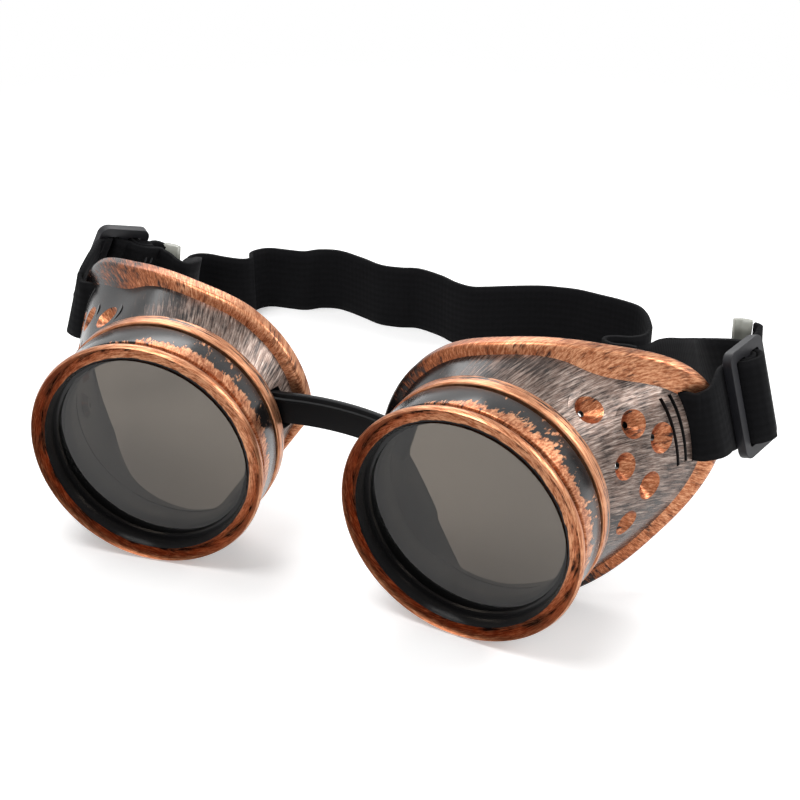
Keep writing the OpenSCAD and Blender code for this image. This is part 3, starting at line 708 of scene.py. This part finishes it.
def build_cups():
    s, mat = sizes(), materials()
    shell = Shell()
    bosses, cuts = bmesh.new(), bmesh.new()
    for y, a in VENTS:
        at = vent_frame(shell, y, a)
        d, r, h = s.vent_depth, s.vent_d / 2, s.vent_hole_d / 2
        revolve(bosses, [(0, -d - 1), (2.0, -d - 1), (r + 0.6, -1.1), (0, -1.1)], at)
        revolve(cuts, [(0, -d - 2), (h, -d - 2), (h, -d + 0.05), (r, 0), (r, 4), (0, 4)], at)
    slot = s.neck_w + 0.5
    gap_t, gap_h = s.bridge_t / 2 + BRIDGE_PLAY, s.bridge_h / 2 + BRIDGE_PLAY
    for x, y, z, half_y, half_z in (
            (CUT_X, SLITS_Y[0], SLITS_Z, s.slit_w / 2, s.slit_h / 2),
            (CUT_X, SLITS_Y[1], SLITS_Z, s.slit_w / 2, s.slit_h / 2),
            (CUT_X, SLOT_Y, SLOT_Z, SLOT_HALF, slot / 2),
            (BRIDGE_CUT_X, shell.collar_back + BRIDGE_BACK, BRIDGE_Z, gap_t, gap_h)):
        block(cuts, (x[0], y - half_y, z - half_z), (x[1], y + half_y, z + half_z))
    body = loose("shell", shell_mesh(shell))
    apply_boolean(body, loose("bosses", bosses), "UNION")
    apply_boolean(body, loose("cuts", cuts), "DIFFERENCE")
    for name, side in SIDES.items():
        bm = bmesh.new()
        bm.from_mesh(body.data)
        obj = finish_mesh(f"{name}_cup_shell", bm, [
            mat("brushed_copper_wall"), mat("brushed_copper_rim"), mat("moulded_abs_black"),
            mat("brushed_copper_vent")],
            mirror(side) @ cup_frame(), 35)
        polar(obj, side)
        paint_cup(obj, side, shell)
        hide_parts(f"{name}_eye_cup")
        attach(obj, f"{name}_cup")
        bm = bmesh.new()
        root = s.ring_d / 2 - s.bead_d / 2 - 1.3
        profile = [(s.spigot_bore / 2, 6.8), (root, 6.8)]
        for k in range(2):
            at = 7.3 + 3 * k
            profile += [(root, at), (root + 0.45, at + 0.4), (root + 0.45, at + 0.9),
                        (root, at + 1.3)]
        c, f, b = shell.collar_r, shell.collar_front, shell.collar_back
        profile += ([(root, f)] + arc(c - 0.5, f + 0.5, 0.5, -90, 0, 5)
                    + arc(c - 0.5, b - 0.5, 0.5, 0, 90, 5)
                    + [(s.spigot_bore / 2 + 1.6, b), (s.spigot_bore / 2, b - 3)])
        spin(bm, profile)
        obj = finish_mesh(f"{name}_cup_collar", bm, [
            mat("brushed_copper_collar"), mat("moulded_abs_black")],
            mirror(side) @ cup_frame(), 35)
        polar(obj, side)
        where = obj.data.attributes["polar"].data
        for face in obj.data.polygons:
            y = sum(where[v].vector[1] for v in face.vertices) / len(face.vertices)
            r = sum(where[v].vector[2] for v in face.vertices) / len(face.vertices)
            face.material_index = 0 if y > (f - 0.01) * MM and r > (root + 0.3) * MM else 1
        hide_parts(f"{name}_eye_cup")
        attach(obj, f"{name}_cup")
    bpy.data.objects.remove(body)


def paint_cup(obj, side, shell):
    """Gives each face of a cup its finish by where it lies: wall, rim, vent or inside."""
    where = obj.data.attributes["polar"].data
    cup = (mirror(side) @ cup_frame()).to_3x3().inverted()
    for face in obj.data.polygons:
        n = len(face.vertices)
        arc_mm, y, r = (sum(where[v].vector[i] for v in face.vertices) / n / MM
                        for i in range(3))
        a = degrees(arc_mm / ARC_R)
        out = Vector((cos(radians(a)), 0, sin(radians(a))))
        faces_out = (cup @ face.normal).dot(out)
        if (y > shell.lip_y(r, a) - 0.15 and faces_out > -0.45
                and r > shell.wall_r(y, a) - 2.5):
            face.material_index = 1
        elif in_vent(shell, y, a, r, cup @ face.normal):
            face.material_index = 3
        elif r < shell.wall_r(y, a) - 1.2 or faces_out < -0.2:
            face.material_index = 2


def in_vent(shell, y, a, r, normal):
    """Whether a face lies on the cone of a vent, not on the wall round it."""
    p = Vector((r * cos(radians(a)), y, r * sin(radians(a))))
    for vy, va in VENTS:
        vent = vent_frame(shell, vy, va)
        q = vent.inverted() @ p
        tilted = abs(normal.dot(vent.to_3x3() @ Vector((0, 0, 1)))) < 0.9
        if hypot(q.x, q.y) < 4.1 and -3.4 < q.z < 0.3 and tilted:
            return True
    return False


# Nose bridge

def sweep(bm, path, ups, section):
    """Lofts a closed section, as [across, up] points, along a path."""
    rings = []
    for i, p in enumerate(path):
        t = (path[min(i + 1, len(path) - 1)] - path[max(i - 1, 0)]).normalized()
        up = (ups[i] - t * ups[i].dot(t)).normalized()
        n = t.cross(up)
        rings.append([bm.verts.new(p + n * x + up * z) for x, z in section])
    k = len(section)
    for a, b in zip(rings, rings[1:]):
        for j in range(k):
            bm.faces.new((a[j], a[(j + 1) % k], b[(j + 1) % k], b[j]))
    bm.faces.new(rings[0])
    bm.faces.new(rings[-1][::-1])


def build_bridge():
    s, mat = sizes(), materials()
    cup = cup_frame()
    back = Shell().collar_back
    gate = cup @ Vector((BRIDGE_X, back + BRIDGE_BACK, BRIDGE_Z))
    inside = cup @ Vector((HEAD_X, back + BRIDGE_BACK, BRIDGE_Z))
    path = [Vector((-inside.x, inside.y, 0))]
    for i in range(-16, 17):
        u = i / 16
        path.append(Vector((gate.x * u, gate.y + s.bridge_bow * (1 - u * u), 0)))
    path.append(Vector((inside.x, inside.y, 0)))
    w, h, e = s.bridge_t / 2, s.bridge_h / 2, 0.35
    ridge = h - 1.6
    half = [(w - e, h), (w - 0.1, h - 0.1), (w, h - e), (w, ridge + 0.5),
            (w + 0.4, ridge + 0.25), (w + 0.45, ridge), (w + 0.4, ridge - 0.25),
            (w, ridge - 0.5), (w, -h + e), (w - 0.1, -h + 0.1), (w - e, -h)]
    section = half + [(-x, z) for x, z in half[::-1]]
    bm = bmesh.new()
    sweep(bm, path, [Vector((0, 0, 1))] * len(path), section)
    at = move(0, 0, gate.z) @ turn("Y", s.bridge_tilt)
    obj = finish_mesh("nose_strip", bm, [mat("moulded_rubber_bridge")], at, 40)
    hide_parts("nose_bridge")
    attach(obj, "frame")
    for name, side in SIDES.items():
        bm = bmesh.new()
        bmesh.ops.create_cube(bm, size=1.0, matrix=Matrix.Diagonal(
            (s.bridge_t, s.bridge_t, s.bridge_h + 3.4, 1)))
        bmesh.ops.bevel(bm, geom=bm.edges[:], offset=0.3, offset_type="OFFSET", segments=3,
                        profile=0.5, affect="EDGES", material=-1)
        z = BRIDGE_Z - side * gate.x * sin(radians(s.bridge_tilt))
        at = (mirror(side) @ cup @ move(HEAD_X, back + HEAD_BACK, z)
              @ turn("Y", degrees(atan(z / -HEAD_X))))
        obj = finish_mesh(f"{name}_bridge_head", bm, [mat("moulded_rubber_bridge")], at, 40)
        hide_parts("nose_bridge")
        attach(obj, "frame")


# Sliders, straps, tips and stitches

def build_sliders():
    s, mat = sizes(), materials()
    window = (s.slider_len - 3 * s.slider_bar) / 2
    for name, side in SIDES.items():
        bm = bmesh.new()
        outer = rounded(s.slider_len, s.slider_h, 2.5, 8)
        holes = [rounded(window, s.strap_w + 0.8, 0.6, 4, (c, 0)) for c in
                 (s.slider_bar / 2 + window / 2, -s.slider_bar / 2 - window / 2)]
        edges = []
        for loop in [outer] + holes:
            vs = [bm.verts.new((-s.slider_t / 2, x, z)) for x, z in loop]
            edges += [bm.edges.new((vs[i], vs[(i + 1) % len(vs)])) for i in range(len(vs))]
        bmesh.ops.triangle_fill(bm, use_beauty=True, use_dissolve=False, edges=edges)
        bmesh.ops.dissolve_limit(bm, angle_limit=0.01, verts=bm.verts, edges=bm.edges)
        made = bmesh.ops.extrude_face_region(bm, geom=bm.faces[:])
        up = [v for v in made["geom"] if isinstance(v, bmesh.types.BMVert)]
        bmesh.ops.translate(bm, vec=(s.slider_t, 0, 0), verts=up)
        at = mirror(side) @ glide_frame(side)
        obj = finish_mesh(f"{name}_slider_plate", bm, [mat("moulded_nylon_slider")], at, 40)
        mod = obj.modifiers.new("soft edges", "BEVEL")
        mod.width = 0.45 * MM
        mod.segments = 3
        mod.limit_method = "ANGLE"
        mod.angle_limit = radians(50)
        mod.harden_normals = True
        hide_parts(f"{name}_slider")
        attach(obj, f"{name}_glide")


def rounded(w, h, r, steps, at=(0, 0)):
    """Rounded rectangle as a list of points."""
    pts = []
    for cx, cy, a in ((1, 1, 0), (-1, 1, 90), (-1, -1, 180), (1, -1, 270)):
        for k in range(steps + 1):
            t = radians(a + 90 * k / steps)
            pts.append((at[0] + cx * (w / 2 - r) + r * cos(t),
                        at[1] + cy * (h / 2 - r) + r * sin(t)))
    return pts


def spline(p, steps):
    """Catmull-Rom curve through stations of any length."""
    out = []
    for i in range(len(p) - 1):
        a, b, c, d = p[max(i - 1, 0)], p[i], p[i + 1], p[min(i + 2, len(p) - 1)]
        for k in range(steps):
            t = k / steps
            out.append([q + t * (r - o) / 2 + t * t * (2 * o - 5 * q + 4 * r - w) / 2
                        + t ** 3 * (3 * (q - r) + w - o) / 2
                        for o, q, r, w in zip(a, b, c, d)])
    return out + [list(p[-1])]


def ribbon(name, stations, side, steps=6, across=6, thick=None):
    """Flat elastic through stations of [x, y, z, up x, up y, up z, width], for x > 0."""
    s = sizes()
    line = spline(stations, steps)
    bm = bmesh.new()
    uv = bm.loops.layers.uv.new("strap")
    rows, run = [], 0.0
    for i, q in enumerate(line):
        p = Vector(q[:3])
        ahead, behind = line[min(i + 1, len(line) - 1)], line[max(i - 1, 0)]
        t = (Vector(ahead[:3]) - Vector(behind[:3])).normalized()
        up = Vector(q[3:6])
        up = (up - t * up.dot(t)).normalized() * q[6] / 2
        if i:
            run += (p - Vector(line[i - 1][:3])).length
        rows.append([(bm.verts.new(p + up * (2 * k / across - 1)), run,
                      (k / across - 0.5) * q[6]) for k in range(across + 1)])
    for a, b in zip(rows, rows[1:]):
        for k in range(across):
            four = (a[k], a[k + 1], b[k + 1], b[k])
            face = bm.faces.new([v[0] for v in four])
            for loop, (_, u, v) in zip(face.loops, four):
                loop[uv].uv = (u * MM, v * MM)
    obj = finish_mesh(name, bm, [materials()("woven_elastic")], mirror(side), 60)
    mod = obj.modifiers.new("thickness", "SOLIDIFY")
    mod.thickness = (thick or s.strap_t) * MM
    mod.offset = 0
    return obj


def at_slider(n, t, side):
    """A station at a slider: distance out from its middle plane, and along the strap."""
    g = glide_frame(side)
    up = g.to_3x3() @ Vector((0, 0, 1))
    return [*(g @ Vector((n, t, 0))), *up, sizes().strap_w]


def near_slot(x, y, z, width):
    """A station in the cup's own frame, leaning as the strap does in its slot."""
    cup = cup_frame()
    up = cup.to_3x3() @ Vector((-sin(radians(13)), 0, cos(radians(13))))
    return [*(cup @ Vector((x, y, z))), *up, width]


def free(x, y, z, lean):
    """A station of the free strap, leaning inward by an angle in degrees."""
    return [x, y, z, -sin(radians(lean)), 0, cos(radians(lean)), sizes().strap_w]


def strap_numbers():
    """Distances of the strap's layers from a slider's middle plane and centre bar."""
    s = sizes()
    half = s.strap_t / 2
    bar = s.slider_bar / 2
    layer = s.strap_t + 0.1
    loop = bar + 0.3 + half
    return {"under": -(s.slider_t / 2 + 0.25 + half), "over": s.slider_t / 2 + 0.2 + half,
            "layer": layer, "loop": loop, "outer": loop + layer + 0.5,
            "far": bar + (s.slider_len - 3 * s.slider_bar) / 2, "end": s.slider_len / 2 - bar,
            "half": s.slider_len / 2}


# Routes of the elastic for x > 0, fitted to the photo, in mm. From a cup's slot to its
# slider: x, y, z and width in the cup's own frame
RUNS = {
    "left": ((40.1, 46.3, 9.2, 16.6), (41, 48.8, 9.3, 17.4), (41, 51.6, 9.4, 18.4),
             (40.8, 54.2, 9.4, 19.2)),
    "right": ((40.1, 46.3, 9, 17), (41.1, 49, 9, 18.5), (41.9, 53, 9, 19.6),
              (43, 58, 8.8, 20), (44.3, 63.5, 8.2, 20)),
}
# From the slider to the end, that end, and the head strap down to the floor: x, y, z of
# the elastic's middle line and its lean in degrees
TAILS = {
    "left": ((88, 68.6, 12, 13), (88.2, 71.6, 12.2, 12), (87.2, 74, 12.3, 12),
             (84.9, 75, 12.3, 12)),
    "right": ((82.9, 77.3, 6.3, 22), (81.2, 78.5, 5.1, 21), (79.2, 79, 4.8, 20)),
}
TIPS = {
    "left": ((84.2, 75.1, 12.3, 12), (82.4, 74.8, 12.3, 12), (80.4, 73.8, 12.3, 12)),
    "right": ((78.1, 79.1, 4.7, 20), (76, 79, 4.5, 19), (73.8, 78.5, 4.3, 17)),
}
FALLS = {
    "left": ((83.4, 67.3, 10.8, 12), (80.6, 68.4, 9.8, 12), (77.6, 70.6, 8, 11),
             (75, 74.4, 5.4, 10), (72.4, 80, 2.2, 8), (67.8, 89.4, -3.2, 6),
             (62, 98.5, -8.6, 3), (58.5, 103.5, -12.9, 1), (56.2, 106.6, -15.7, 0),
             (54.2, 108.6, -17.5, 0), (52.7, 109.7, -18.5, 0), (51.3, 110.4, -18.5, 0)),
    "right": ((80.2, 75.8, 5, 19), (77.4, 75.9, 4, 17), (74.4, 75.2, 2.8, 15),
              (71.8, 75.6, 1.8, 13), (70.4, 78, 0.9, 11), (71, 82, -0.6, 10),
              (74.2, 88.6, -3.8, 8), (79.4, 96.6, -8.2, 6), (85.2, 104.6, -12.6, 3),
              (89.6, 110.2, -16.2, 1), (92.2, 114, -18.2, 0), (93.3, 116.4, -18.5, 0),
              (93.4, 118, -18.5, 0)),
}
# The head strap round the back, standing on the floor: x, y
HEAD = ((50, 110.9), (48.6, 111.2), (47, 111.2), (43.5, 110.6), (40.8, 111.8), (40.8, 114),
        (43.5, 115.4), (47.5, 116.6), (50.4, 119.2), (51, 123), (49.6, 127.6), (47.4, 132.4),
        (44, 136.4), (38, 138.4), (32, 139.4), (25.5, 140.4), (20, 140), (14, 138.8),
        (6, 135.4), (0, 132.4), (-5, 130.6), (-10.5, 131.8), (-16, 134.6), (-24, 136.8),
        (-29.5, 135.4), (-36, 135), (-43.5, 137.8), (-52, 140.2), (-58, 138.8),
        (-62, 135.6), (-66.5, 134.8), (-73, 134), (-76, 131.6), (-77, 128.6), (-75.4, 125),
        (-78, 123), (-84, 122.6), (-88.5, 122.8), (-91.6, 122), (-93.1, 120.3),
        (-93.4, 118.3))


def build_straps():
    s, q = sizes(), strap_numbers()
    under, over, layer, loop, outer, far, end, half = q.values()
    over_bar = ((under, -end), (under + 0.2, -far + 0.5), (-0.2, -outer),
                (over + 0.2, -outer + 0.7), (over + layer + 0.5, -1.4),
                (over + layer + 0.9, 0), (over + layer + 0.5, 1.4), (over + 0.2, outer - 0.7),
                (-0.2, outer), (under + 0.2, far - 0.5), (under, end),
                (under, half + 0.9))
    round_bar = ((under - 2 * layer, half + 0.9), (under - 2 * layer, end - 0.5),
                 (under - 2.4, far - 1), (under - 1.6, far - 2.7), (-over - 0.3, 0.9),
                 (-over, -0.8), (-1, -loop - 0.1), (1, -loop - 0.1), (over, -1), (over, 1),
                 (1, loop + 0.1), (-0.8, loop + 0.3), (under - 0.4, far - 2),
                 (under - 1.1, far - 0.7), (under - layer, end - 0.4),
                 (under - layer, half + 0.5))
    hem = ((27.6, 45.8), (25.4, 45.7), (24.6, 45.05), (25.4, 44.4), (28, 44.3), (35, 44.3),
           (37.8, 44.5))
    for name, side in SIDES.items():
        stations = [near_slot(x, y, SLOT_Z, s.neck_w) for x, y in hem]
        stations += [near_slot(*p) for p in RUNS[name]]
        if side < 0:
            stations.append(at_slider(under - 1, -half + 0.1, side))
        stations += [at_slider(n, t, side) for n, t in over_bar]
        stations += [free(*p) for p in TAILS[name]]
        obj = ribbon(f"{name}_cup_elastic", stations, side)
        a = mirror(side) @ cup_frame() @ Vector((41, 50, 9))
        b = mirror(side) @ glide_frame(side) @ Vector((under, -half, 0))
        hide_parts(f"{name}_cup_strap")
        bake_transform(obj)
        start = [at_slider(n, t, side) for n, t in round_bar]
        falls = [free(*p) for p in FALLS[name]]
        lap = spline([*falls[1::-1], start[0]], 2)
        obj = ribbon(f"{name}_bar_loop", [*lap[2:], *start[1:]], side)
        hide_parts(f"{name}_side_strap")
        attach(obj, f"{name}_glide")
        obj = ribbon(f"{name}_side_elastic", [start[1], start[0], *falls], side)
        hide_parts(f"{name}_side_strap")
        a = mirror(side) @ Vector(falls[1][:3])
        b = mirror(side) @ Vector(falls[-1][:3])
        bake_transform(obj)
        obj = ribbon(f"{name}_tip_film", [free(*p) for p in TIPS[name]], side,
                     thick=s.strap_t + 0.3)
        obj.data.materials[0] = materials()("heat_sealed_film")
        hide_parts(f"{name}_strap_tip")
        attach(obj, f"{name}_glide")
    head = ribbon("back_elastic", [free(x, y, -s.ring_d / 2 + s.strap_w / 2, 0)
                                   for x, y in HEAD], 1)
    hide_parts("head_strap")
    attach(head, "frame")


def build_bar_tacks():
    s, q = sizes(), strap_numbers()
    for name, side in SIDES.items():
        bm = bmesh.new()
        n = q["under"] - 2 * q["layer"] - s.strap_t / 2 - 0.65
        for t in (q["end"] - 0.6, q["end"] + 1.2):
            for i in range(7):
                bmesh.ops.create_uvsphere(
                    bm, u_segments=12, v_segments=8, radius=1.0,
                    matrix=move(n, t, (i - 3) * 2.2) @ Matrix.Diagonal((0.28, 0.28, 0.95, 1)))
        obj = finish_mesh(f"{name}_stitches", bm, [materials()("spun_polyester_thread")],
                          mirror(side) @ glide_frame(side), 60)
        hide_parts(f"{name}_bar_tack")
        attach(obj, f"{name}_glide")


# Stage

def seen_rays(tree):
    """1 for camera, glossy and transmission rays, otherwise 0."""
    seen = node(tree, "LightPath", out="Is Camera Ray")
    path = seen.node.outputs
    for kind in ("Is Glossy Ray", "Is Transmission Ray"):
        seen = node(tree, "Math", seen, path[kind], operation="MAXIMUM")
    return seen


def build_stage():
    t = new_material("painted_studio_floor")
    place = node(t, "TexCoord", out="Object")
    # painted board: matt white, with a mottle 33 mm wide that is almost too faint to see
    mottle = node(t, "TexNoise", Vector=place, Scale=30.0, Detail=2.0, Roughness=0.6)
    shade = node(t, "Mix", mottle, data_type="RGBA", i6=colour("floor", 0.985),
                 i7=colour("floor"), out=2)
    seen = seen_rays(t)
    # the floor's own light only whitens it for rays that see it as background, and away
    # from the goggles and their shadow it is plain white to those rays
    near = node(t, "BsdfPrincipled", Base_Color=shade, Roughness=0.7,
                Specular_IOR_Level=0.2, Emission_Color=WHITE,
                Emission_Strength=node(t, "Math", seen, 0.3, operation="MULTIPLY"))
    far = node(t, "Emission", Color=WHITE, Strength=1.0)
    away = node(t, "VectorMath", place, operation="LENGTH", out=1)
    share = node(t, "MapRange", away, 0.2, 0.42, 0.0, 1.0, interpolation_type="SMOOTHSTEP")
    share = node(t, "Math", seen, share, operation="MULTIPLY")
    node(t, "OutputMaterial", node(t, "MixShader", share, near, far))
    bm = bmesh.new()
    bmesh.ops.create_grid(bm, x_segments=1, y_segments=1, size=3000,
                          matrix=move(0, 0, -sizes().ring_d / 2 - 0.02))
    floor = finish_mesh("studio_floor", bm, [bpy.data.materials["painted_studio_floor"]])
    # name, place, where it aims, width and height, all in mm, and its watts
    lights = (
        ("top_softbox", (-160, -60, 760), (0, 30, 0), 460, 380, 3.6),
        ("right_softbox", (520, 340, 400), (60, 40, 0), 380, 300, 2.4),
        ("back_softbox", (-340, 560, 420), (0, 60, 0), 520, 260, 2.0),
    )
    for name, at, aim, w, h, power in lights:
        lamp = bpy.data.lights.new(name, "AREA")
        lamp.shape = "RECTANGLE"
        lamp.size, lamp.size_y, lamp.energy = w * MM, h * MM, power
        obj = bpy.data.objects.new(name, lamp)
        obj.location = Vector(at) * MM
        obj.rotation_euler = (Vector(at) - Vector(aim)).to_track_quat("Z", "Y").to_euler()
        bpy.context.scene.collection.objects.link(obj)
    scene = bpy.context.scene
    scene.world = bpy.data.worlds.new("studio")
    scene.world.use_nodes = True
    t = scene.world.node_tree
    t.nodes.clear()
    strength = node(t, "MapRange", seen_rays(t), i3=0.3, i4=1.0)
    node(t, "OutputWorld", node(t, "Background", Color=WHITE, Strength=strength))
    camera = bpy.data.cameras.new("camera")
    camera.lens, camera.sensor_width = 65, 36
    obj = bpy.data.objects.new("camera", camera)
    # place and angles of the camera, fitted to the photo
    obj.location = Vector((120.55, -239.33, 174.59)) * MM
    obj.rotation_euler = (radians(90 - 29.62), 0, radians(21.84))
    scene.collection.objects.link(obj)
    scene.camera = obj
    scene.view_settings.view_transform = "Standard"


# Operators and panel

class GOGGLES_OT_rings(bpy.types.Operator):
    """Builds the two screw rings"""
    bl_idname = "goggles.rings"
    bl_label = "Screw Rings"
    bl_options = {"REGISTER", "UNDO"}

    def execute(self, context):
        build_rings()
        return {"FINISHED"}


class GOGGLES_OT_lenses(bpy.types.Operator):
    """Builds the two lenses"""
    bl_idname = "goggles.lenses"
    bl_label = "Lenses"
    bl_options = {"REGISTER", "UNDO"}

    def execute(self, context):
        build_lenses()
        return {"FINISHED"}


class GOGGLES_OT_gaskets(bpy.types.Operator):
    """Builds the two gaskets"""
    bl_idname = "goggles.gaskets"
    bl_label = "Gaskets"
    bl_options = {"REGISTER", "UNDO"}

    def execute(self, context):
        build_gaskets()
        return {"FINISHED"}


class GOGGLES_OT_cups(bpy.types.Operator):
    """Builds the two eye cups"""
    bl_idname = "goggles.cups"
    bl_label = "Eye Cups"
    bl_options = {"REGISTER", "UNDO"}

    def execute(self, context):
        build_cups()
        return {"FINISHED"}


class GOGGLES_OT_bridge(bpy.types.Operator):
    """Builds the nose bridge"""
    bl_idname = "goggles.bridge"
    bl_label = "Nose Bridge"
    bl_options = {"REGISTER", "UNDO"}

    def execute(self, context):
        build_bridge()
        return {"FINISHED"}


class GOGGLES_OT_sliders(bpy.types.Operator):
    """Builds the two sliders"""
    bl_idname = "goggles.sliders"
    bl_label = "Sliders"
    bl_options = {"REGISTER", "UNDO"}

    def execute(self, context):
        build_sliders()
        return {"FINISHED"}


class GOGGLES_OT_straps(bpy.types.Operator):
    """Builds every length of elastic"""
    bl_idname = "goggles.straps"
    bl_label = "Straps"
    bl_options = {"REGISTER", "UNDO"}

    def execute(self, context):
        build_straps()
        return {"FINISHED"}


class GOGGLES_OT_bar_tacks(bpy.types.Operator):
    """Builds the stitches"""
    bl_idname = "goggles.bar_tacks"
    bl_label = "Bar Tacks"
    bl_options = {"REGISTER", "UNDO"}

    def execute(self, context):
        build_bar_tacks()
        return {"FINISHED"}


class GOGGLES_OT_stage(bpy.types.Operator):
    """Builds floor, lights, world and camera"""
    bl_idname = "goggles.stage"
    bl_label = "Stage"
    bl_options = {"REGISTER", "UNDO"}

    def execute(self, context):
        build_stage()
        return {"FINISHED"}


OPERATORS = [GOGGLES_OT_rings, GOGGLES_OT_lenses, GOGGLES_OT_gaskets,
             GOGGLES_OT_cups, GOGGLES_OT_bridge, GOGGLES_OT_sliders,
             GOGGLES_OT_straps, GOGGLES_OT_bar_tacks, GOGGLES_OT_stage]


class GOGGLES_PT_main(bpy.types.Panel):
    """Buttons and sizes in the 3D view's sidebar"""
    bl_idname = "GOGGLES_PT_main"
    bl_label = "Goggles"
    bl_space_type = "VIEW_3D"
    bl_region_type = "UI"
    bl_category = "Goggles"

    def draw(self, context):
        for op in OPERATORS:
            self.layout.operator(op.bl_idname)
        for group in (context.scene.goggles_sizes, context.scene.goggles_colours):
            for key in group.__annotations__:
                self.layout.prop(group, key)


CLASSES = [GogglesSizes, GogglesColours, *OPERATORS, GOGGLES_PT_main]


def register():
    for c in CLASSES:
        bpy.utils.register_class(c)
    bpy.types.Scene.goggles_sizes = bpy.props.PointerProperty(type=GogglesSizes)
    bpy.types.Scene.goggles_colours = bpy.props.PointerProperty(type=GogglesColours)


def unregister():
    del bpy.types.Scene.goggles_sizes
    del bpy.types.Scene.goggles_colours
    for c in reversed(CLASSES):
        bpy.utils.unregister_class(c)


def main():
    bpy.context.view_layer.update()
    register()
    for op in OPERATORS:
        key = op.bl_idname.split(".")[1]
        if getattr(bpy.ops.goggles, key)() != {"FINISHED"}:
            raise RuntimeError(f"{op.bl_idname} failed")


if __name__ == "__main__":
    main()
